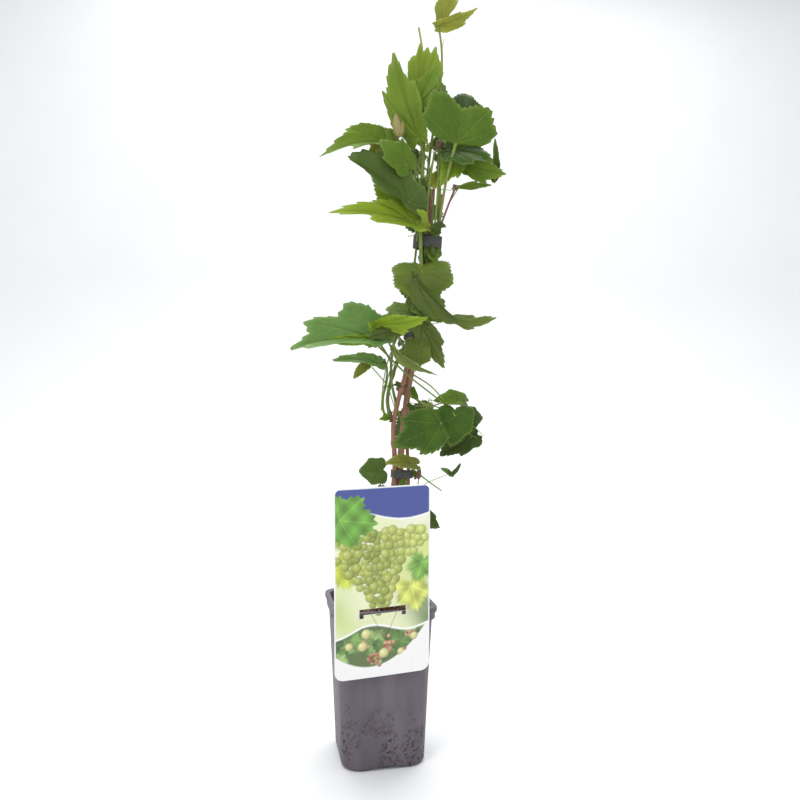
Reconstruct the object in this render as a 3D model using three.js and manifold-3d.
// A young grapevine in a square nursery pot, with its picture card and its ties.
// Millimetres, +Z up. The origin is the middle of the pot's flat underside.
import * as THREE from 'three';
import { mergeVertices } from 'three/addons/utils/BufferGeometryUtils.js';
import Module from 'manifold-3d';

const wasm = await Module();
wasm.setup();

// ---------------------------------------------------------------- driving sizes

const GAP = 0.35; // left between neighbours
const DEG = Math.PI / 180;

const POT = {
  turn: 10 * DEG, // the pot stands turned a little to the left
  height: 150,
  rim: 100, // square flange, side to side
  rimCorner: 15,
  lipDepth: 5,
  skirtDepth: 12,
  bodyTop: 94,
  bodyFoot: 81,
  bodyCorner: 19,
  footRound: 4,
  wall: 1.6,
  floor: 7,
};
const SOIL_TOP = 138;
const ARCH = { width: 34, height: 3.6, depth: 14 }; // drain arch in the middle of each foot edge
const RIM_SLOT = { width: 9, height: 5 };

const CARD = {
  width: 90,
  height: 177,
  corner: 8,
  thick: 0.7,
  centre: new THREE.Vector3(3.6, -60, 180),
  turn: 15 * DEG,
  lean: 6 * DEG,
  roll: -1.6 * DEG,
};
const CARD_SLOT = { width: 44, height: 5.5, notch: 4, drop: 3.4, up: -29 };

const TIES = [
  { name: 'tie_low', centre: [22.5, 0, 273], half: [11, 8.5], tall: 8, tilt: 3 },
  { name: 'tie_middle', centre: [34, 0.5, 411], half: [8.6, 9.6], tall: 12, tilt: 0 },
  { name: 'tie_top', centre: [48.5, 0.5, 505], half: [14.5, 8.6], tall: 13, tilt: 4 },
];
const TIE_THICK = 0.9;

const BLADE_THICK = 1.3;
const STALK_RADIUS = [1.1, 0.8];
const SIDES = { limb: 6, stalk: 3 };

const COLOURS = {
  pot: 0x4c4d55, soil: 0x3b2a20, card: 0xdfe6d4, tie: 0x33383b, cane: 0x6f4a3c, shoot: 0x73823f,
  mature: 0x4f7030, bright: 0x6f9a2c, dark: 0x33552b, pale: 0x86a060, yellow: 0xa9ad4a,
};

// ---------------------------------------------------------------- limbs
// Each limb is one tapering stem: its radius at the foot and at the tip, and the
// places it passes, from the soil or from the stem it grew on, through the ties.

const LIMBS = [
  { name: 'main_cane', colour: 'cane', radius: [3.2, 2.0], path: [
    [4, 4, SOIL_TOP + GAP], [12, 3, 200], [20, 1, 268], [23, 1, 307], [27, 2, 340],
    [31, 1.5, 376], [34, 1, 411], [40, 1, 455], [50, 2, 505], [54, 3, 560]] },
  { name: 'second_cane', colour: 'cane', radius: [2.4, 1.4], path: [
    [-6, -6, SOIL_TOP + GAP], [6, -5, 215], [15.5, -3, 272], [14.5, -2, 322],
    [19, -4, 346], [26, -5, 372], [30, -4.5, 411], [34, -5, 448]] },
  { name: 'third_cane', colour: 'cane', radius: [1.7, 1.0], path: [
    [16, 8, SOIL_TOP + GAP], [26, 5, 215], [29.5, 3, 272], [28, 6, 310],
    [29, 8, 345], [35, 7, 380], [38.5, 5, 411], [42, 8, 450]] },
  { name: 'tall_shoot', colour: 'shoot', radius: [1.7, 0.9], path: [
    [11.5, 2.5, 329], [8.5, 4, 345], [10, 4, 358], [14, 5, 373], [21, 7, 391],
    [30.5, 6.5, 411], [39, 7, 455], [46, 4, 505], [48, 4, 560], [52, 6, 600],
    [60, 7, 650], [64, 7, 690], [63, 6, 712], [61, 5, 724]] },
  { name: 'left_shoot', colour: 'shoot', radius: [1.4, 0.9], path: [
    [11, -1.5, 329], [5, -3, 334], [4, -3, 348], [6.5, -2, 362], [8, -2, 378], [5, -3, 388]] },
  { name: 'inner_shoot', colour: 'shoot', radius: [1.4, 1.0], path: [
    [18, 1.5, 332], [16, 1.5, 348], [12.5, 0.5, 364], [12, 0, 380], [13.5, 0, 395],
    [16, -1, 408], [24, -4, 432], [32, -5, 465], [37.5, -2, 505], [35, -2, 540], [37, -3, 562]] },
  { name: 'middle_shoot', colour: 'shoot', radius: [1.9, 1.2], path: [
    [33, -2.5, 378], [37.5, -3.5, 411], [40, -6, 440], [42, -5, 477], [43, -3, 505],
    [43, -3, 550], [44, -3, 600], [45, -2, 622]] },
  { name: 'right_shoot', colour: 'shoot', radius: [1.7, 1.1], path: [
    [46, 3, 474], [57, 2, 505], [60.5, 3, 530], [61, 3, 560], [60.5, 4, 596], [64, 6, 626]] },
];

// ---------------------------------------------------------------- leaf outlines
// A lobe has its angle from the tip, its reach against the leaf's length, and its
// half width in degrees. Every outline is the same on both sides of the midrib.

const OUTLINES = {
  vine: { lobes: [[0, 1, 42], [50, 0.84, 38], [105, 0.66, 44], [150, 0.46, 34]], notch: 0.16 },
  young: { lobes: [[0, 1, 36], [42, 0.78, 34], [95, 0.5, 46], [140, 0.34, 40]], notch: 0.2 },
  narrow: { lobes: [[0, 1, 24], [24, 0.62, 30], [70, 0.36, 60], [130, 0.22, 50]], notch: 0.16 },
  fan: { lobes: [[0, 0.95, 20], [11, 1, 18], [24, 0.9, 20], [70, 0.34, 60]], notch: 0.2 },
  blade: { lobes: [[0, 1, 30], [38, 0.76, 40], [85, 0.4, 34]], notch: 0.1 },
  shield: { lobes: [[30, 1, 44], [64, 0.93, 18]], notch: 0.08 },
  great: { lobes: [[0, 1, 17], [27, 0.95, 18], [66, 0.72, 44], [112, 0.44, 44]], notch: 0.14 },
};

// ---------------------------------------------------------------- leaves
// base: where the stalk meets the blade. aim: the midrib's direction seen from the
// front, anticlockwise from the right. lean: how far it comes forward. turn: the
// blade's turn about its midrib, 180 for one that faces the back. fold: how far the
// two halves close up. bow: how far the blade arches between its base and its tip.
// from: the limb and the height at which its stalk leaves that limb.

const LEAVES = [
  // crown
  { name: 'leaf_top', base: [64.5, 3, 731], aim: 62, lean: 14, length: 33, width: 27,
    turn: -30, fold: 24, bow: 0.06, outline: 'blade', colour: 'yellow', from: ['tall_shoot', 721] },
  { name: 'leaf_top_side', base: [58, 1, 725], aim: 18, lean: 12, length: 43, width: 17,
    turn: 48, fold: 20, bow: 0.08, outline: 'blade', colour: 'yellow', from: ['tall_shoot', 712] },
  { name: 'leaf_crest', base: [46, -12, 636], aim: 86, lean: 3, length: 64, width: 42,
    turn: 8, fold: 8, bow: -0.04, outline: 'fan', colour: 'bright', from: ['middle_shoot', 616] },
  { name: 'leaf_sail', base: [40, -19, 603], aim: 107, lean: 8, length: 81, width: 46,
    turn: -40, fold: 20, bow: 0.05, outline: 'young', colour: 'mature', from: ['middle_shoot', 592] },
  { name: 'leaf_broad_right', base: [73, -26, 597], aim: 79, lean: 10, length: 51, width: 78,
    turn: 6, fold: 8, bow: 0.06, outline: 'shield', colour: 'mature', from: ['right_shoot', 520] },
  { name: 'leaf_behind_right', base: [82, 3, 626], aim: 78, lean: -8, length: 30, width: 40,
    turn: -10, fold: 10, bow: 0.05, outline: 'vine', colour: 'dark', from: ['right_shoot', 604] },
  { name: 'leaf_under_right', base: [72, -14, 593], aim: -16, lean: 10, length: 43, width: 36,
    turn: -24, fold: 10, bow: 0.06, outline: 'young', colour: 'mature', from: ['right_shoot', 566] },
  { name: 'leaf_hook_right', base: [89, -6, 582], aim: -20, lean: 14, length: 36, width: 26,
    turn: 30, fold: 12, bow: 0.05, outline: 'young', colour: 'mature', from: ['right_shoot', 585] },
  { name: 'leaf_arch_right', base: [82, -4, 595], aim: 235, lean: 6, length: 40, width: 26,
    turn: 14, fold: 10, bow: 0.06, outline: 'young', colour: 'bright', from: ['right_shoot', 584] },
  { name: 'leaf_strip_right', base: [80, -2, 561], aim: 3, lean: 4, length: 30, width: 9,
    turn: 50, fold: 10, bow: -0.06, outline: 'blade', colour: 'mature', from: ['right_shoot', 512] },
  { name: 'leaf_left_wing', base: [8, -14, 601], aim: 194, lean: 12, length: 64, width: 39,
    turn: 28, fold: 28, bow: 0.08, outline: 'young', colour: 'mature', from: ['middle_shoot', 575] },
  { name: 'leaf_left_cup', base: [25, -30, 574], aim: 137, lean: 12, length: 33, width: 30,
    turn: 8, fold: 10, bow: 0.08, outline: 'young', colour: 'mature', from: ['middle_shoot', 550] },
  { name: 'leaf_dark_fold', base: [29, -20, 541], aim: 147, lean: 12, length: 71, width: 54,
    turn: 30, fold: 32, bow: 0.05, outline: 'young', colour: 'dark', from: ['inner_shoot', 530] },
  { name: 'leaf_under_fold', base: [27, -7, 543], aim: 146, lean: 2, length: 38, width: 32,
    turn: -10, fold: 8, bow: 0.04, outline: 'vine', colour: 'bright', from: ['inner_shoot', 524] },
  { name: 'leaf_shelf', base: [35, -17, 521], aim: 177, lean: 14, length: 73, width: 34,
    turn: 26, fold: 28, bow: 0.08, outline: 'young', colour: 'bright', from: ['inner_shoot', 512] },

  // middle
  { name: 'leaf_heart', base: [42, -17, 472], aim: 274, lean: 12, length: 33, width: 58,
    turn: 4, fold: 10, bow: 0.08, outline: 'vine', colour: 'mature', from: ['middle_shoot', 484] },
  { name: 'leaf_long_fold', base: [35, -30, 463], aim: -44, lean: 8, length: 67, width: 36,
    turn: 56, fold: 30, bow: 0.05, outline: 'blade', colour: 'dark', from: ['middle_shoot', 470] },
  { name: 'leaf_edge_right', base: [70, -10, 428], aim: -4, lean: 10, length: 40, width: 26,
    turn: 66, fold: 12, bow: 0.08, outline: 'young', colour: 'mature', from: ['middle_shoot', 436] },
  { name: 'leaf_under_heart', base: [45, -13, 440], aim: -38, lean: 6, length: 26, width: 30,
    turn: -14, fold: 12, bow: 0.06, outline: 'vine', colour: 'mature', from: ['middle_shoot', 432] },
  { name: 'leaf_great_left', base: [-7, -20, 407], aim: 188, lean: 12, length: 76, width: 68,
    turn: 36, fold: 37, bow: 0.05, outline: 'great', colour: 'pale', from: ['inner_shoot', 384] },
  { name: 'leaf_small_left', base: [14, -30, 412], aim: 197, lean: 6, length: 24, width: 14,
    turn: 20, fold: 14, bow: 0.08, outline: 'vine', colour: 'dark', from: ['inner_shoot', 408] },
  { name: 'leaf_bright_strip', base: [-6, -30, 418], aim: 9, lean: 4, length: 51, width: 24,
    turn: 42, fold: 22, bow: 0.05, outline: 'blade', colour: 'bright', from: ['inner_shoot', 396] },
  { name: 'leaf_grey_chip', base: [28, -14, 432], aim: 176, lean: 6, length: 22, width: 16,
    turn: 14, fold: 10, bow: 0.1, outline: 'vine', colour: 'pale', from: ['inner_shoot', 434] },
  { name: 'leaf_drop_right', base: [42, -13, 421], aim: -62, lean: 8, length: 45, width: 28,
    turn: 18, fold: 22, bow: 0.06, outline: 'young', colour: 'dark', from: ['middle_shoot', 420] },
  { name: 'leaf_drop_middle', base: [34, -22, 408], aim: 262, lean: 6, length: 27, width: 34,
    turn: -8, fold: 14, bow: 0.06, outline: 'vine', colour: 'mature', from: ['middle_shoot', 396] },
  { name: 'leaf_pale_strip', base: [15, -30, 395], aim: -33, lean: 8, length: 44, width: 17,
    turn: 60, fold: 18, bow: 0.05, outline: 'blade', colour: 'pale', from: ['inner_shoot', 390] },
  { name: 'leaf_left_spray', base: [1, -7, 383], aim: 175, lean: 8, length: 46, width: 17,
    turn: 40, fold: 14, bow: 0.06, outline: 'narrow', colour: 'pale', from: ['left_shoot', 387] },
  { name: 'leaf_left_drop', base: [-12, -10, 382], aim: 226, lean: 6, length: 19, width: 12,
    turn: 20, fold: 14, bow: 0.06, outline: 'narrow', colour: 'yellow', from: ['left_shoot', 380] },

  // foot
  { name: 'leaf_crescent', base: [81, -10, 347], aim: 180, lean: 6, length: 26, width: 17,
    turn: 22, fold: 16, bow: 0.2, outline: 'vine', colour: 'mature', from: ['main_cane', 322] },
  { name: 'leaf_great_low', base: [58, -28, 326], aim: 206, lean: 8, length: 53, width: 50,
    turn: 6, fold: 8, bow: 0.06, outline: 'young', colour: 'mature', from: ['main_cane', 352] },
  { name: 'leaf_bright_low', base: [74, -22, 331], aim: 266, lean: 4, length: 28, width: 38,
    turn: 4, fold: 8, bow: 0.06, outline: 'vine', colour: 'mature', from: ['main_cane', 374] },
  { name: 'leaf_dark_low', base: [83, -2, 330], aim: -4, lean: 2, length: 20, width: 28,
    turn: 24, fold: 12, bow: 0.06, outline: 'vine', colour: 'dark', from: ['main_cane', 340] },
  { name: 'leaf_shade_low', base: [92, -8, 309], aim: 207, lean: 2, length: 34, width: 28,
    turn: 12, fold: 12, bow: 0.05, outline: 'young', colour: 'dark', from: ['third_cane', 300] },
  { name: 'leaf_yellow_low', base: [34, -16, 284], aim: 178, lean: 8, length: 28, width: 20,
    turn: 24, fold: 16, bow: 0.12, outline: 'vine', colour: 'yellow', from: ['main_cane', 293] },
  { name: 'leaf_left_low', base: [0.5, -14, 278], aim: 185, lean: 8, length: 19, width: 28,
    turn: -10, fold: 12, bow: 0.06, outline: 'vine', colour: 'dark', from: ['second_cane', 284] },
  { name: 'leaf_low_tuft', base: [3, -15, 247], aim: 100, lean: 6, length: 18, width: 28,
    turn: 10, fold: 10, bow: 0.06, outline: 'vine', colour: 'dark', from: ['second_cane', 240] },
  { name: 'leaf_low_right', base: [44, -8, 236], aim: -46, lean: 6, length: 22, width: 18,
    turn: 22, fold: 14, bow: 0.06, outline: 'vine', colour: 'dark', from: ['third_cane', 228] },

  // back
  { name: 'leaf_back_crown', base: [54, 20, 650], aim: 104, lean: -12, length: 44, width: 42,
    turn: 172, fold: 10, bow: 0.06, outline: 'vine', colour: 'mature', from: ['tall_shoot', 636] },
  { name: 'leaf_back_right', base: [72, 22, 604], aim: 22, lean: -12, length: 38, width: 42,
    turn: 168, fold: 12, bow: 0.06, outline: 'vine', colour: 'mature', from: ['right_shoot', 590] },
  { name: 'leaf_back_left', base: [32, 20, 594], aim: 160, lean: -14, length: 42, width: 38,
    turn: 190, fold: 14, bow: 0.06, outline: 'vine', colour: 'bright', from: ['tall_shoot', 580] },
  { name: 'leaf_back_fold', base: [44, 22, 540], aim: 128, lean: -10, length: 42, width: 42,
    turn: 186, fold: 12, bow: 0.06, outline: 'vine', colour: 'dark', from: ['tall_shoot', 524] },
  { name: 'leaf_back_middle', base: [45, 22, 474], aim: 262, lean: -12, length: 34, width: 44,
    turn: 176, fold: 10, bow: 0.06, outline: 'vine', colour: 'mature', from: ['tall_shoot', 466] },
  { name: 'leaf_back_wing', base: [12, 22, 424], aim: 188, lean: -10, length: 44, width: 34,
    turn: 196, fold: 16, bow: 0.06, outline: 'vine', colour: 'mature', from: ['tall_shoot', 400] },
  { name: 'leaf_back_low', base: [48, 22, 328], aim: 214, lean: -10, length: 38, width: 38,
    turn: 180, fold: 10, bow: 0.06, outline: 'vine', colour: 'dark', from: ['third_cane', 318] },
  { name: 'leaf_back_foot', base: [30, 24, 228], aim: 96, lean: -12, length: 30, width: 32,
    turn: 184, fold: 12, bow: 0.06, outline: 'vine', colour: 'mature', from: ['third_cane', 212] },
];

// ---------------------------------------------------------------- solids

function solidFrom(positions, triangles) {
  return new wasm.Manifold(new wasm.Mesh({
    numProp: 3,
    vertProperties: new Float32Array(positions),
    triVerts: new Uint32Array(triangles),
  }));
}

function solidFromGeometry(geometry) {
  geometry.deleteAttribute('normal');
  geometry.deleteAttribute('uv');
  const merged = mergeVertices(geometry, 1e-4);
  return solidFrom(merged.attributes.position.array, merged.index.array);
}

// Joins rings of equal count into one closed skin, with a flat fan over each end.
function loft(rings) {
  const count = rings[0].length;
  const positions = rings.flat().flatMap((point) => point.toArray());
  const triangles = [];
  for (let level = 0; level + 1 < rings.length; level += 1) {
    for (let i = 0; i < count; i += 1) {
      const next = (i + 1) % count;
      const [a, b] = [level * count + i, level * count + next];
      triangles.push(a, b, b + count, a, b + count, a + count);
    }
  }
  const centres = [rings[0], rings.at(-1)].map((ring) => (
    ring.reduce((sum, point) => sum.add(point), new THREE.Vector3()).divideScalar(count)));
  positions.push(...centres.flatMap((centre) => centre.toArray()));
  const foot = rings.length * count;
  const top = (rings.length - 1) * count;
  for (let i = 0; i < count; i += 1) {
    const next = (i + 1) % count;
    triangles.push(foot, next, i, foot + 1, top + i, top + next);
  }
  return solidFrom(positions, triangles);
}

// A rounded square at height z, anticlockwise from above.
function squareRing(side, corner, z, cornerSteps = 4) {
  const inset = side / 2 - corner;
  const ring = [];
  [[1, 1], [-1, 1], [-1, -1], [1, -1]].forEach(([sx, sy], quarter) => {
    for (let step = 0; step <= cornerSteps; step += 1) {
      const angle = (quarter + step / cornerSteps) * Math.PI / 2;
      ring.push(new THREE.Vector3(
        sx * inset + corner * Math.cos(angle), sy * inset + corner * Math.sin(angle), z));
    }
  });
  return ring;
}

// A tapering tube along a smooth path, a little thicker at its joints.
function taperedTube(points, [foot, tip], sides, steps, grow = 0, knots = 0) {
  const curve = new THREE.CatmullRomCurve3(points, false, 'centripetal');
  const frames = curve.computeFrenetFrames(steps, false);
  const rings = [];
  for (let step = 0; step <= steps; step += 1) {
    const along = step / steps;
    const swell = knots > 0 && step % knots === knots - 1 ? 1.22 : 1;
    const radius = THREE.MathUtils.lerp(foot, tip, along) * swell + grow;
    const centre = curve.getPointAt(along);
    const ring = [];
    for (let side = 0; side < sides; side += 1) {
      const angle = side / sides * Math.PI * 2;
      ring.push(centre.clone()
        .addScaledVector(frames.normals[step], radius * Math.cos(angle))
        .addScaledVector(frames.binormals[step], radius * Math.sin(angle)));
    }
    rings.push(ring);
  }
  return loft(rings);
}

// How far a leaf reaches at an angle from its tip, against its own length.
function reachAt(outline, angle) {
  const away = Math.abs(angle);
  let reach = outline.notch;
  for (const [at, length, half] of outline.lobes) {
    const off = Math.abs(away - at) / half;
    if (off < 1) reach = Math.max(reach, length * (1 - 0.42 * off ** 1.4));
  }
  const sinus = THREE.MathUtils.smoothstep(away, 150, 180);
  return THREE.MathUtils.lerp(reach, outline.notch, sinus);
}

// The blade: one thin closed pad whose two skins follow the folded, bowed leaf.
function blade(leaf, grow = 0) {
  const outline = OUTLINES[leaf.outline];
  const [aim, lean, turn, fold] = [leaf.aim, leaf.lean, leaf.turn, leaf.fold].map((d) => d * DEG);
  const along = new THREE.Vector3(
    Math.cos(aim) * Math.cos(lean), -Math.sin(lean), Math.sin(aim) * Math.cos(lean));
  const face = new THREE.Vector3(0, -1, 0).addScaledVector(along, -Math.sin(lean)).normalize();
  face.applyAxisAngle(along, turn);
  const across = new THREE.Vector3().crossVectors(face, along);
  const base = new THREE.Vector3(...leaf.base);

  const large = leaf.length > 40;
  const spokes = large ? 18 : 12;
  const angles = Array.from({ length: spokes }, (_, i) => (i * 360 / spokes) - 180);
  const widest = Math.max(...angles.map((a) => reachAt(outline, a) * Math.abs(Math.sin(a * DEG))));
  const stretch = leaf.width / 2 / (widest * leaf.length);
  const half = BLADE_THICK / 2 + grow;

  const place = (angle, share, side) => {
    const reach = reachAt(outline, angle) * leaf.length * share + (share > 0 ? grow : 0);
    const s = reach * Math.cos(angle * DEG);
    const t = reach * Math.sin(angle * DEG) * stretch;
    const arch = 4 * leaf.bow * s * (1 - s / leaf.length);
    const ripple = 0.03 * leaf.length * share * share * Math.sin(angle * DEG * 3 + leaf.aim);
    const lift = Math.abs(t) * Math.sin(fold) + arch + ripple;
    return base.clone().addScaledVector(along, s)
      .addScaledVector(across, t * Math.cos(fold)).addScaledVector(face, lift + side * half);
  };

  const shares = large ? [0.55, 1] : [1];
  const positions = [];
  for (const side of [1, -1]) {
    positions.push(...place(0, 0, side).toArray());
    for (const share of shares) {
      for (const angle of angles) positions.push(...place(angle, share, side).toArray());
    }
  }
  const skin = 1 + shares.length * spokes;
  const triangles = [];
  for (let i = 0; i < spokes; i += 1) {
    const next = (i + 1) % spokes;
    const [a, b] = [1 + i, 1 + next];
    const [c, d] = large ? [a + spokes, b + spokes] : [a, b];
    const upper = large ? [0, a, b, a, d, b, a, c, d] : [0, a, b];
    triangles.push(...upper);
    for (let k = 0; k < upper.length; k += 3) {
      triangles.push(upper[k] + skin, upper[k + 2] + skin, upper[k + 1] + skin);
    }
    triangles.push(c + skin, d + skin, d, c + skin, d, c);
  }
  return solidFrom(positions, triangles);
}

// ---------------------------------------------------------------- pot, soil, card, ties

function archCut(quarter) {
  const arch = new THREE.Shape();
  arch.absellipse(0, 0, ARCH.width / 2, ARCH.height, 0, Math.PI * 2, false, 0);
  const geometry = new THREE.ExtrudeGeometry(
    arch, { depth: ARCH.depth * 2, bevelEnabled: false, curveSegments: 8 });
  geometry.rotateX(Math.PI / 2).translate(0, ARCH.depth - POT.bodyFoot / 2, 0);
  return solidFromGeometry(geometry.rotateZ(quarter * Math.PI / 2));
}

function potSolid() {
  const { height, rim, wall, bodyTop, bodyFoot, bodyCorner, footRound } = POT;
  const skirt = height - POT.skirtDepth;
  const lip = height - POT.lipDepth;
  const inner = bodyTop - 2 * wall;
  let pot = loft([
    squareRing(bodyFoot - 2 * footRound, bodyCorner - footRound, 0),
    squareRing(bodyFoot - 0.6 * footRound, bodyCorner - 0.3 * footRound, 0.3 * footRound),
    squareRing(bodyFoot, bodyCorner, footRound),
    squareRing(bodyTop - 0.6, bodyCorner, skirt),
    squareRing(bodyTop + 3.4, POT.rimCorner + 1, skirt),
    squareRing(bodyTop + 3.4, POT.rimCorner + 1, lip),
    squareRing(rim, POT.rimCorner, lip),
    squareRing(rim, POT.rimCorner, height),
    squareRing(inner, bodyCorner - wall, height),
    squareRing(inner - 0.4, bodyCorner - wall, skirt),
    squareRing(bodyFoot - 2 * wall, bodyCorner - wall, POT.floor),
  ]);
  for (const quarter of [0, 1, 2, 3]) pot = pot.subtract(archCut(quarter));
  const slot = new THREE.BoxGeometry(8, RIM_SLOT.width, RIM_SLOT.height);
  slot.translate(-rim / 2, -rim / 2 + 30, lip - RIM_SLOT.height / 2 - 0.5);
  return pot.subtract(solidFromGeometry(slot));
}

function soilSolid() {
  const { bodyTop, bodyFoot, bodyCorner, wall, floor, height, skirtDepth } = POT;
  const sideAt = (z) => THREE.MathUtils.lerp(bodyFoot, bodyTop - 0.6, (z - floor) / (height - skirtDepth - floor));
  const clear = 2 * (wall + GAP) + 0.6;
  const mound = (side, depth, wave) => squareRing(side, Math.min(bodyCorner - wall, side / 2 - 1), SOIL_TOP)
    .map((point, i) => point.setZ(SOIL_TOP - depth - wave * (1 + Math.sin(i * 2.4))));
  return loft([
    squareRing(sideAt(floor) - clear, bodyCorner - wall, floor + GAP),
    squareRing(sideAt(SOIL_TOP - 5) - clear, bodyCorner - wall, SOIL_TOP - 5),
    mound(sideAt(SOIL_TOP) - clear - 1, 1.5, 1.2),
    mound(60, 0.8, 0.8),
    mound(46, 0, 0),
  ]);
}

// The card hangs on the rim by its slot: a bar with a notch that drops at each end.
function cardGeometry() {
  const { width, height, corner, thick } = CARD;
  const [right, top] = [width / 2, height / 2];
  const outline = new THREE.Shape();
  outline.moveTo(-right + corner, -top);
  outline.lineTo(right - corner, -top);
  outline.absarc(right - corner, -top + corner, corner, -Math.PI / 2, 0);
  outline.absarc(right - corner, top - corner, corner, 0, Math.PI / 2);
  outline.absarc(-right + corner, top - corner, corner, Math.PI / 2, Math.PI);
  outline.absarc(-right + corner, -top + corner, corner, Math.PI, Math.PI * 1.5);
  const slot = new THREE.Path();
  const [reach, sill] = [CARD_SLOT.width / 2, CARD_SLOT.up];
  slot.moveTo(-reach, sill + CARD_SLOT.height);
  slot.lineTo(-reach, sill - CARD_SLOT.drop);
  slot.lineTo(-reach + CARD_SLOT.notch, sill - CARD_SLOT.drop);
  slot.lineTo(-reach + CARD_SLOT.notch, sill);
  slot.lineTo(reach - CARD_SLOT.notch, sill);
  slot.lineTo(reach - CARD_SLOT.notch, sill - CARD_SLOT.drop);
  slot.lineTo(reach, sill - CARD_SLOT.drop);
  slot.lineTo(reach, sill + CARD_SLOT.height);
  slot.closePath();
  outline.holes.push(slot);
  const geometry = new THREE.ExtrudeGeometry(outline, { depth: thick, bevelEnabled: false, curveSegments: 4 });
  return geometry.translate(0, 0, -thick / 2).rotateX(Math.PI / 2);
}

function tieSolid(tie) {
  const [wide, deep] = tie.half;
  const band = new THREE.Shape();
  band.absellipse(0, 0, wide, deep, 0, Math.PI * 2, false, 0);
  const inside = new THREE.Path();
  inside.absellipse(0, 0, wide - TIE_THICK, deep - TIE_THICK, 0, Math.PI * 2, true, 0);
  band.holes.push(inside);
  const geometry = new THREE.ExtrudeGeometry(band, { depth: tie.tall, bevelEnabled: false, curveSegments: 7 });
  geometry.translate(0, 0, -tie.tall / 2).rotateY(tie.tilt * DEG).translate(...tie.centre);
  return solidFromGeometry(geometry);
}

// ---------------------------------------------------------------- limbs with their leaf stalks

const vectors = (points) => points.map((point) => new THREE.Vector3(...point));

function pointOnLimb(name, height) {
  const limb = LIMBS.find((one) => one.name === name);
  const curve = new THREE.CatmullRomCurve3(vectors(limb.path), false, 'centripetal');
  const places = curve.getSpacedPoints(200);
  const off = (place) => Math.abs(place.z - height);
  return places.reduce((best, place) => (off(place) < off(best) ? place : best));
}

function stalk(leaf, grow) {
  const start = pointOnLimb(...leaf.from);
  const end = new THREE.Vector3(...leaf.base);
  const middle = start.clone().lerp(end, 0.5);
  middle.z += 0.1 * start.distanceTo(end);
  end.lerp(middle, 1.2 / end.distanceTo(middle));
  return taperedTube([start, middle, end], STALK_RADIUS, SIDES.stalk, 3, grow);
}

function limbSolid(limb, grow = 0) {
  const points = vectors(limb.path);
  const steps = Math.round(new THREE.CatmullRomCurve3(points).getLength() / 30) + 3;
  let solid = taperedTube(points, limb.radius, SIDES.limb, steps, grow, 4);
  for (const leaf of LEAVES.filter((one) => one.from[0] === limb.name)) {
    solid = solid.add(stalk(leaf, grow));
  }
  return solid;
}

// ---------------------------------------------------------------- assembly

const vine = new THREE.Group();

function addMesh(group, name, solid, colour, roughness = 0.6) {
  const { vertProperties, triVerts } = solid.getMesh();
  const geometry = new THREE.BufferGeometry();
  geometry.setAttribute('position', new THREE.BufferAttribute(vertProperties, 3));
  geometry.setIndex(new THREE.BufferAttribute(triVerts, 1));
  const material = new THREE.MeshStandardMaterial({ color: COLOURS[colour], roughness, metalness: 0 });
  const mesh = new THREE.Mesh(geometry, material);
  mesh.name = name;
  group.add(mesh);
  return mesh;
}

const largest = (solid) => solid.decompose().reduce((a, b) => (a.volume() > b.volume() ? a : b));

const apart = (a, b) => [0, 1, 2].some((k) => a.min[k] > b.max[k] + 1 || b.min[k] > a.max[k] + 1);

const potGroup = new THREE.Group();
potGroup.rotation.z = POT.turn;
vine.add(potGroup);
addMesh(potGroup, 'pot', potSolid(), 'pot', 0.5);
addMesh(potGroup, 'soil', soilSolid(), 'soil', 0.95);

const card = addMesh(vine, 'card', solidFromGeometry(cardGeometry()), 'card', 0.35);
card.rotation.set(CARD.lean, CARD.roll, CARD.turn, 'ZXY');
card.position.copy(CARD.centre);

for (const tie of TIES) addMesh(vine, tie.name, tieSolid(tie), 'tie', 0.5);

// Every limb and blade is cut back from the ones made before it, and a blade that
// a stem runs through keeps its larger part.
const growth = [
  ...LIMBS.map((limb) => ({ ...limb, make: (grow) => limbSolid(limb, grow), roughness: 0.75 })),
  ...LEAVES.map((leaf) => ({ ...leaf, make: (grow) => blade(leaf, grow), roughness: 0.55 })),
];
const placed = TIES.map((tie) => ({ box: tieSolid(tie).boundingBox(), grown: tieSolid(tie) }));
for (const part of growth) {
  let solid = part.make(0);
  for (const other of placed) {
    if (!apart(other.box, solid.boundingBox())) solid = solid.subtract(other.grown);
  }
  solid = largest(solid);
  addMesh(vine, part.name, solid, part.colour, part.roughness);
  placed.push({ box: solid.boundingBox(), grown: part.make(GAP) });
}

export default vine;
